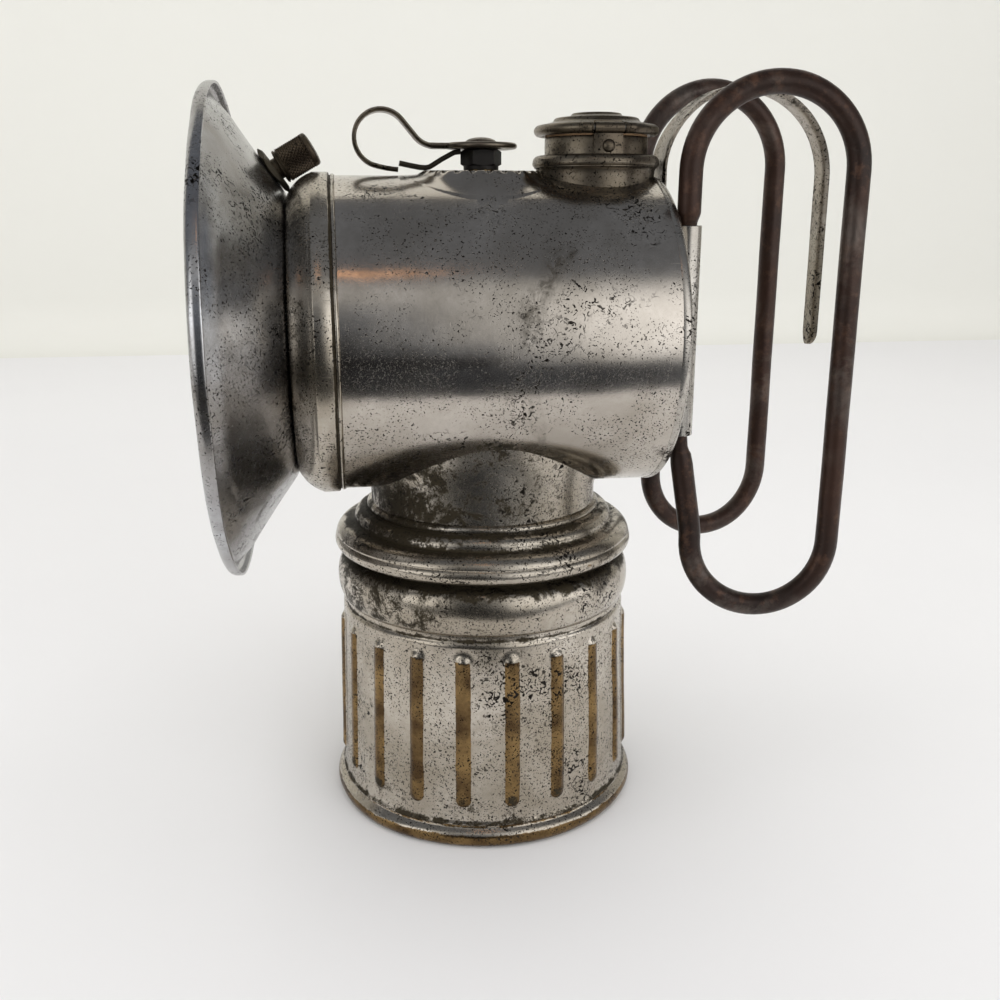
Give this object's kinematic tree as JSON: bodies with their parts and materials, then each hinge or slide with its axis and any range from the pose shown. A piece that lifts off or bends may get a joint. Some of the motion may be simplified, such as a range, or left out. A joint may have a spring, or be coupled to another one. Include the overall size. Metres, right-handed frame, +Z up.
{
  "type": "carbide lamp",
  "caption": "Carbide hand lamp: horizontal water tank with a dished reflector, a ribbed screw-on carbide base, valve lever, filler lid and twin wire handle.",
  "frame": {"origin": "centre of the base's foot, on the surface that it stands on", "axes": "+Z up the base, beam leaves along -X, handle at +X, lid hinge on the -Y side"},
  "size_m": [0.1337, 0.1016, 0.162],
  "materials": {
    "nickel_plate": "worn nickel plate over brass, spotted with tarnish",
    "nickel_dark": "tarnished nickel plate",
    "reflector_plate": "polished plate, grey and stained on its back",
    "brass": "bare turned brass, dull",
    "rusted_wire": "dark rusted steel wire",
    "black_brass": "brass gone black",
    "brown_knurl": "knurled brass gone dark brown",
    "steel": "hardened steel",
    "rubber": "aged black rubber",
    "cork": "cork and leather sealing disc",
    "felt": "grey-buff felt",
    "ceramic": "fired steatite, unglazed",
    "flint": "sparking alloy rod"
  },
  "bodies": {
    "head": {"neck_skirt": "nickel_plate", "gas_floor": "nickel_dark", "filter_felt": "felt", "filter_retainer": "brass", "tank_shell": "nickel_plate", "front_head": "nickel_dark", "rear_head": "nickel_plate", "front_ring": "nickel_plate", "valve_seat": "brass", "drip_tube": "brass", "gland_bush": "brass", "gland_packing": "felt", "packing_nut": "black_brass", "gas_tube": "brass", "burner_holder": "brass", "burner_nut": "brass", "burner_tip": "ceramic", "reflector": "reflector_plate", "filler_neck": "nickel_dark", "filler_collar": "nickel_dark", "hinge_strap": "nickel_dark", "hinge_rivet": "nickel_dark", "hinge_wire": "steel", "flint_tube": "brown_knurl", "striker_nut": "black_brass", "striker_frame": "nickel_plate", "striker_axle": "steel", "flint": "flint", "flint_spring": "steel", "handle_bracket": "nickel_plate", "left_loop_wire": "rusted_wire", "right_loop_wire": "rusted_wire", "hook": "nickel_plate"},
    "base": {"carbide_cup": "nickel_plate"},
    "base_seal": {"base_gasket": "rubber"},
    "lid": {"filler_lid": "nickel_dark", "lid_gasket": "cork"},
    "valve": {"valve_stem": "brass", "valve_lever": "nickel_dark", "click_spring": "black_brass", "lever_screw": "nickel_dark"},
    "wheel": {"striker_wheel": "steel"},
    "cap_plug": {"spring_follower": "brass"},
    "cap": {"flint_cap": "brown_knurl"}
  },
  "joints": [
    {"name": "base_drop", "type": "slide", "parent": "head", "child": "base_seal", "axis": [0, 0, -1], "range_m": [0, 0.00635]},
    {"name": "base_turn", "type": "hinge", "parent": "base_seal", "child": "base", "pos_m": [0, 0, 0.06], "axis": [0, 0, -1], "range_deg": [0, 720]},
    {"name": "lid_hinge", "type": "hinge", "parent": "head", "child": "lid", "pos_m": [0.0247, -0.0116, 0.1486], "axis": [1, 0, 0], "range_deg": [0, 110]},
    {"name": "valve_turn", "type": "hinge", "parent": "head", "child": "valve", "pos_m": [0, 0, 0.145], "axis": [0, 0, 1], "range_deg": [-120, 120]},
    {"name": "wheel_spin", "type": "hinge", "parent": "head", "child": "wheel", "pos_m": [-0.05151, 0, 0.13533], "axis": [0, 1, 0], "continuous": true},
    {"name": "cap_lift", "type": "slide", "parent": "head", "child": "cap_plug", "axis": [0.8678, 0, 0.497], "range_m": [0, 0.0018]},
    {"name": "cap_turn", "type": "hinge", "parent": "cap_plug", "child": "cap", "pos_m": [-0.04006, 0, 0.14189], "axis": [0.8678, 0, 0.497], "range_deg": [0, 1080]}
  ],
  "couplings": [
    {"joint": "base_turn", "follows": "base_drop", "rad_per_m": 1979},
    {"joint": "cap_turn", "follows": "cap_lift", "rad_per_m": 10472}
  ]
}
